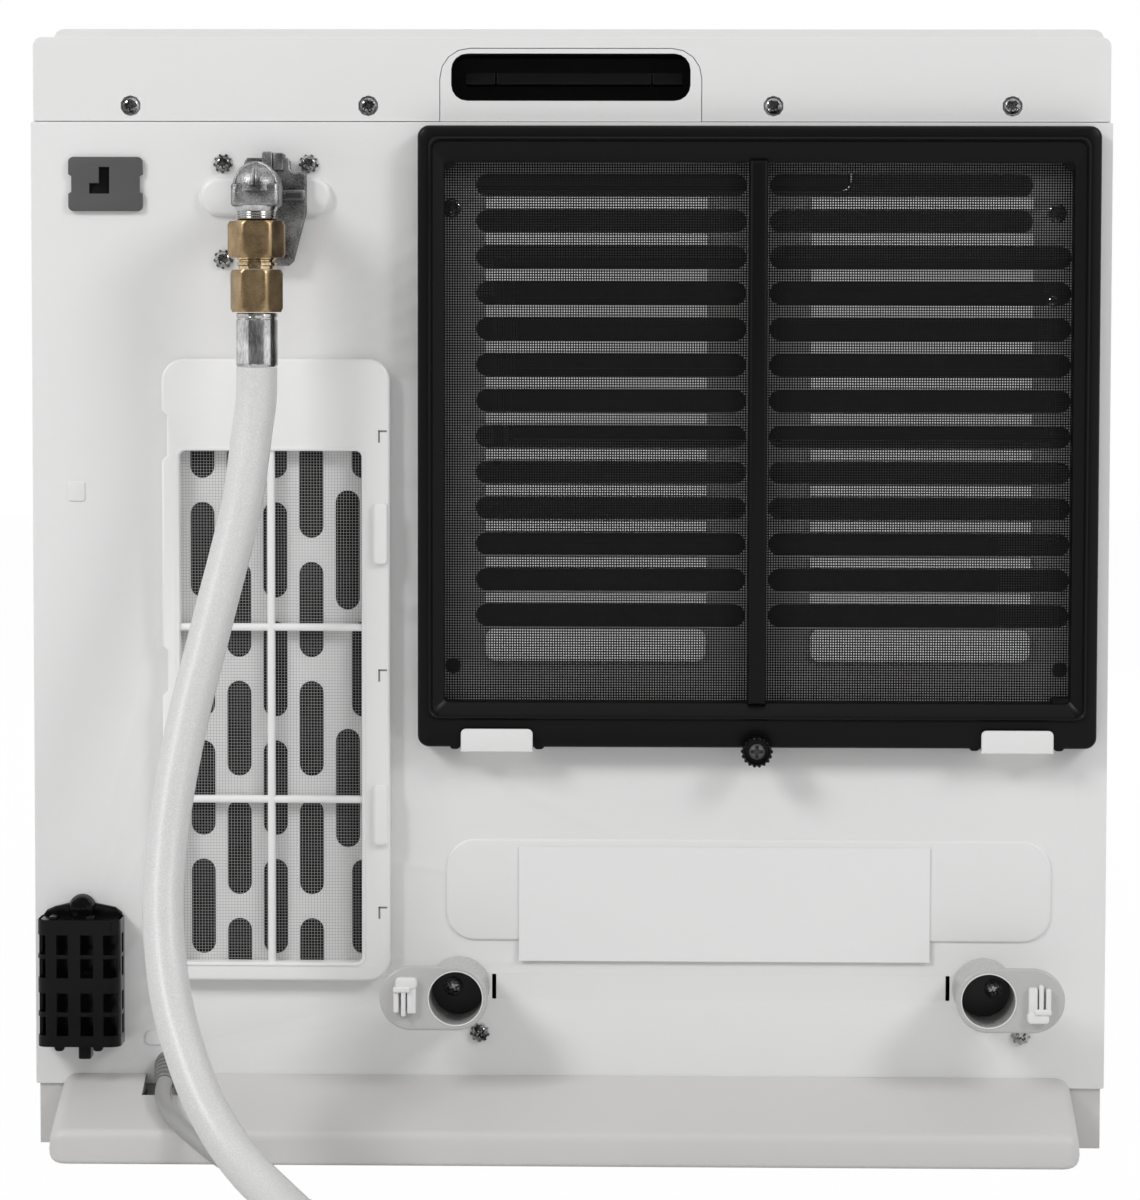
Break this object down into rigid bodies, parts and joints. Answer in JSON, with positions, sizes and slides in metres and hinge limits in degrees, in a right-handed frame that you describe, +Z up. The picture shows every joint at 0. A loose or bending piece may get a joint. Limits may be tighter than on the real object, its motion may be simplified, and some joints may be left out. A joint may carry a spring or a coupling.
{
  "type": "gas space heater",
  "caption": "Portable fan-assisted gas space heater with rear dust filters, wall spacers, a handle recess, a gas hose and a power cord.",
  "frame": {"origin": "on the floor under the middle of the cabinet", "axes": "+Z up; -Y out of the rear, which carries the filters and the gas inlet; +X to the right as one looks at the rear"},
  "size_m": [0.5256, 0.612, 0.4996],
  "materials": {
    "white_paint": "semi-gloss",
    "white_plastic": "satin",
    "grey_plastic": "satin",
    "plate_grey": "satin",
    "black_plastic": "satin",
    "black_net": "woven",
    "white_net": "woven",
    "cast_zinc": "as cast",
    "bright_steel": "plated",
    "brass": "machined",
    "hose_plastic": "translucent",
    "cord_plastic": "satin",
    "label_white": "satin",
    "dark_glass": "glossy",
    "galvanised": "galvanised",
    "ceramic": "glazed",
    "board_green": "lacquered"
  },
  "bodies": {
    "cabinet": {"base_tray": "grey_plastic", "rear_plinth": "grey_plastic", "rear_panel": "white_paint", "left_side_panel": "white_paint", "right_side_panel": "white_paint", "top_cover": "white_plastic", "handle_bezel": "white_plastic", "handle_cup": "black_plastic", "front_panel": "white_plastic", "outlet_grille": "black_plastic", "control_panel": "black_plastic", "display_window": "dark_glass", "control_board": "board_green", "cover_screw_1": "bright_steel", "cover_screw_2": "bright_steel", "cover_screw_3": "bright_steel", "cover_screw_4": "bright_steel", "gas_type_plate": "plate_grey", "inlet_bracket": "cast_zinc", "gas_elbow": "cast_zinc", "inlet_union_nut": "brass", "hose_tail_nut": "brass", "hose_ferrule": "bright_steel", "inlet_screw_1": "bright_steel", "inlet_screw_2": "bright_steel", "inlet_screw_3": "bright_steel", "label_plate": "label_white", "spacer_left": "grey_plastic", "spacer_right": "grey_plastic", "spacer_screw_left": "bright_steel", "spacer_screw_right": "bright_steel", "sensor_cage": "black_plastic", "room_thermistor": "black_plastic", "cord_strain_relief": "grey_plastic", "fan_housing": "galvanised", "fan_motor": "galvanised", "combustion_chamber": "galvanised", "burner": "galvanised", "spark_electrode": "ceramic", "flame_sensor": "ceramic", "gas_valve": "cast_zinc", "gas_pipe": "bright_steel", "main_board": "board_green", "tip_over_switch": "black_plastic", "gas_hose_run": "hose_plastic", "gas_hose_coil": "hose_plastic", "hose_bayonet": "brass", "power_cord_run": "cord_plastic", "power_cord_coil": "cord_plastic", "power_plug": "grey_plastic"},
    "fan": {"fan_rotor": "galvanised"},
    "fan_filter": {"fan_filter_frame": "black_plastic", "fan_filter_net": "black_net"},
    "burner_filter": {"burner_filter_frame": "white_plastic", "burner_filter_net": "white_net"},
    "thumbscrew": {"filter_thumbscrew": "black_plastic"},
    "power_key": {"power_button": "grey_plastic"},
    "cooler_key": {"cooler_button": "grey_plastic"},
    "warmer_key": {"warmer_button": "grey_plastic"},
    "timer_key": {"timer_button": "grey_plastic"}
  },
  "joints": [
    {"name": "fan_spin", "type": "hinge", "parent": "cabinet", "child": "fan", "pos_m": [0, -0.047, 0.345], "axis": [1, 0, 0], "continuous": true},
    {"name": "fan_filter_lift", "type": "slide", "parent": "cabinet", "child": "fan_filter", "axis": [0, 0, 1], "range_m": [0, 0.013]},
    {"name": "burner_filter_swing", "type": "hinge", "parent": "cabinet", "child": "burner_filter", "pos_m": [-0.1777, -0.0943, 0.21], "axis": [0, 0, -1], "range_deg": [0, 22]},
    {"name": "thumbscrew_turn", "type": "hinge", "parent": "cabinet", "child": "thumbscrew", "pos_m": [0.08165, -0.094, 0.1767], "axis": [0, -1, 0], "range_deg": [0, 720]},
    {"name": "power_press", "type": "slide", "parent": "cabinet", "child": "power_key", "axis": [0, -1, 0], "range_m": [0, 0.0012], "stiffness_N_per_m": 900},
    {"name": "cooler_press", "type": "slide", "parent": "cabinet", "child": "cooler_key", "axis": [0, -1, 0], "range_m": [0, 0.0012], "stiffness_N_per_m": 900},
    {"name": "warmer_press", "type": "slide", "parent": "cabinet", "child": "warmer_key", "axis": [0, -1, 0], "range_m": [0, 0.0012], "stiffness_N_per_m": 900},
    {"name": "timer_press", "type": "slide", "parent": "cabinet", "child": "timer_key", "axis": [0, -1, 0], "range_m": [0, 0.0012], "stiffness_N_per_m": 900}
  ]
}
